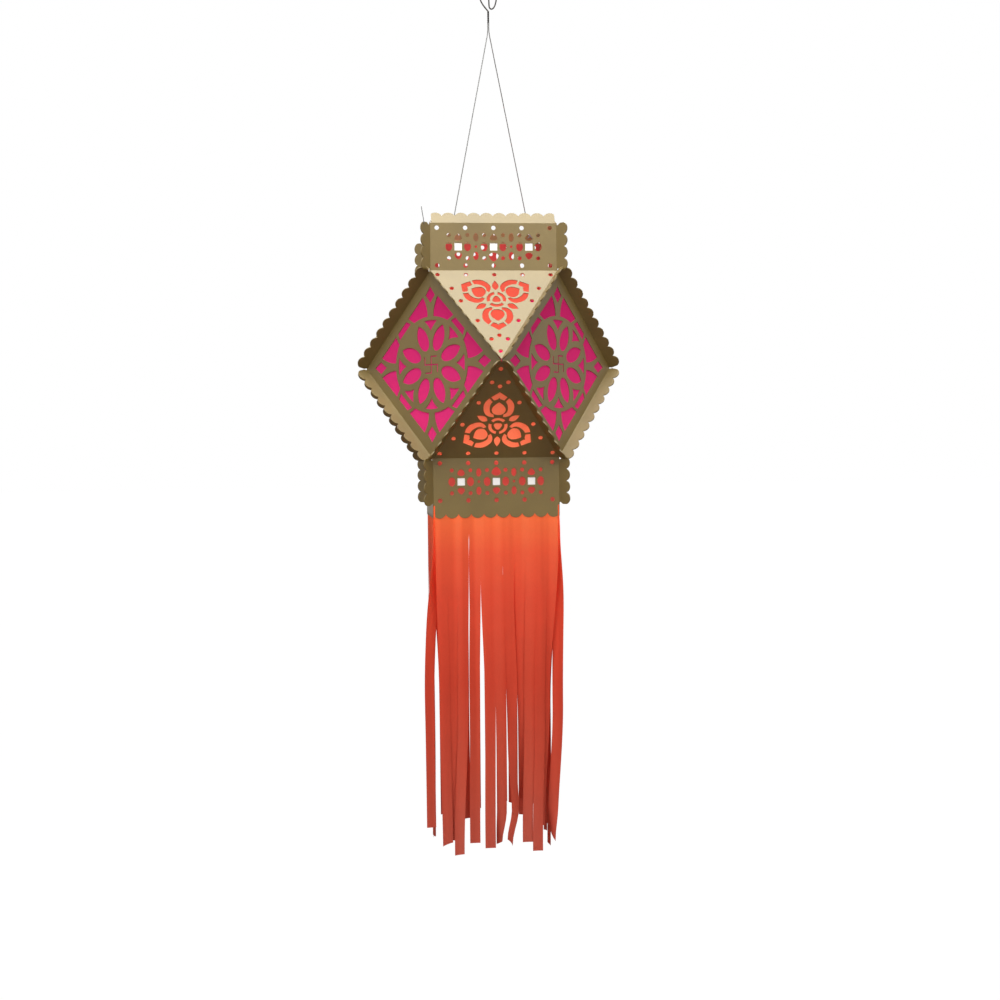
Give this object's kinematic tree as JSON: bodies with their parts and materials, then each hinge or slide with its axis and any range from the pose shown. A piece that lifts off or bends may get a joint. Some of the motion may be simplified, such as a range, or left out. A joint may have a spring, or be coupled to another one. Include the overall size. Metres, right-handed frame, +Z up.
{
  "type": "hanging paper lantern",
  "caption": "Hanging paper lantern folded from gold card, with punched patterns over coral and pink paper, scalloped flanges and a fringe of orange strips.",
  "frame": {"origin": "the inside of the top of the wire hook's loop, where it hangs", "axes": "+Z up, along the way that it hangs; the body hangs in -Z. +X to the right seen from the front, +Y to the back"},
  "size_m": [0.2778, 0.2778, 0.9135],
  "materials": {
    "gold_card": "pearl gold",
    "coral_paper": "matt",
    "pink_paper": "matt",
    "orange_paper": "matt",
    "thread": "matt",
    "wire": "satin black"
  },
  "bodies": {
    "root": {"upper_panel_front": "gold_card", "upper_panel_right": "gold_card", "upper_panel_back": "gold_card", "upper_panel_left": "gold_card", "upper_lining_front": "coral_paper", "upper_lining_right": "coral_paper", "upper_lining_back": "coral_paper", "upper_lining_left": "coral_paper", "lower_panel_front": "gold_card", "lower_panel_right": "gold_card", "lower_panel_back": "gold_card", "lower_panel_left": "gold_card", "lower_lining_front": "coral_paper", "lower_lining_right": "coral_paper", "lower_lining_back": "coral_paper", "lower_lining_left": "coral_paper", "square_panel_front_left": "gold_card", "square_panel_front_right": "gold_card", "square_panel_back_right": "gold_card", "square_panel_back_left": "gold_card", "square_paper_front_left": "pink_paper", "square_paper_front_right": "pink_paper", "square_paper_back_right": "pink_paper", "square_paper_back_left": "pink_paper", "fringe_front": "orange_paper", "fringe_right": "orange_paper", "fringe_back": "orange_paper", "fringe_left": "orange_paper", "thread_front": "thread", "thread_back": "thread", "knot_front": "thread", "knot_back": "thread", "hanging_hook": "wire"}
  },
  "joints": []
}
